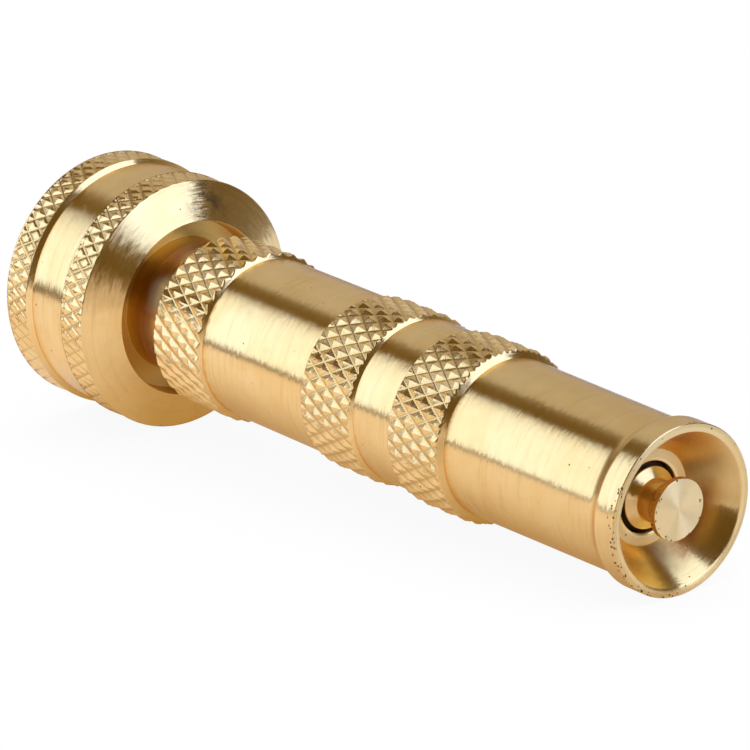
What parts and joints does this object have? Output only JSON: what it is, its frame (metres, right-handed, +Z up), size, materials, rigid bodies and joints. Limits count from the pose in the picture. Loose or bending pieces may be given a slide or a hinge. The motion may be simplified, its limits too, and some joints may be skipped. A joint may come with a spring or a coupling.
{
  "type": "hose spray nozzle",
  "caption": "Turned brass twist nozzle for a garden hose, with a knurled barrel that screws along its stem to set the spray.",
  "frame": {"origin": "on the nozzle's axis, at the middle of its length", "axes": "+X along the axis towards the spray tip, +Z up with the nozzle lying down"},
  "size_m": [0.105, 0.031, 0.031],
  "materials": {
    "coupling_brass": "satin turned brass with diamond-knurled bands",
    "barrel_brass": "satin turned brass with diamond-knurled bands",
    "spindle_brass": "turned brass, faced end",
    "stem_brass": "as-turned brass",
    "washer_rubber": "moulded black rubber, matt",
    "oring_rubber": "moulded black rubber, slightly greased",
    "spring_steel": "stainless spring wire"
  },
  "bodies": {
    "coupling_and_stem": {"hose_coupling": "coupling_brass", "hose_washer": "washer_rubber", "valve_stem": "stem_brass", "stem_seal_oring": "oring_rubber", "spray_spindle": "spindle_brass", "shutoff_oring": "oring_rubber"},
    "stop_ring": {"barrel_stop_ring": "spring_steel"},
    "barrel": {"barrel": "barrel_brass"}
  },
  "joints": [
    {"name": "barrel_travel", "type": "slide", "parent": "coupling_and_stem", "child": "stop_ring", "axis": [1, 0, 0], "range_m": [0, 0.0075]},
    {"name": "barrel_twist", "type": "hinge", "parent": "stop_ring", "child": "barrel", "pos_m": [0, 0, 0], "axis": [1, 0, 0], "range_deg": [0, 1080]}
  ],
  "couplings": [
    {"joint": "barrel_travel", "follows": "barrel_twist", "m_per_rad": 0.00039789}
  ]
}
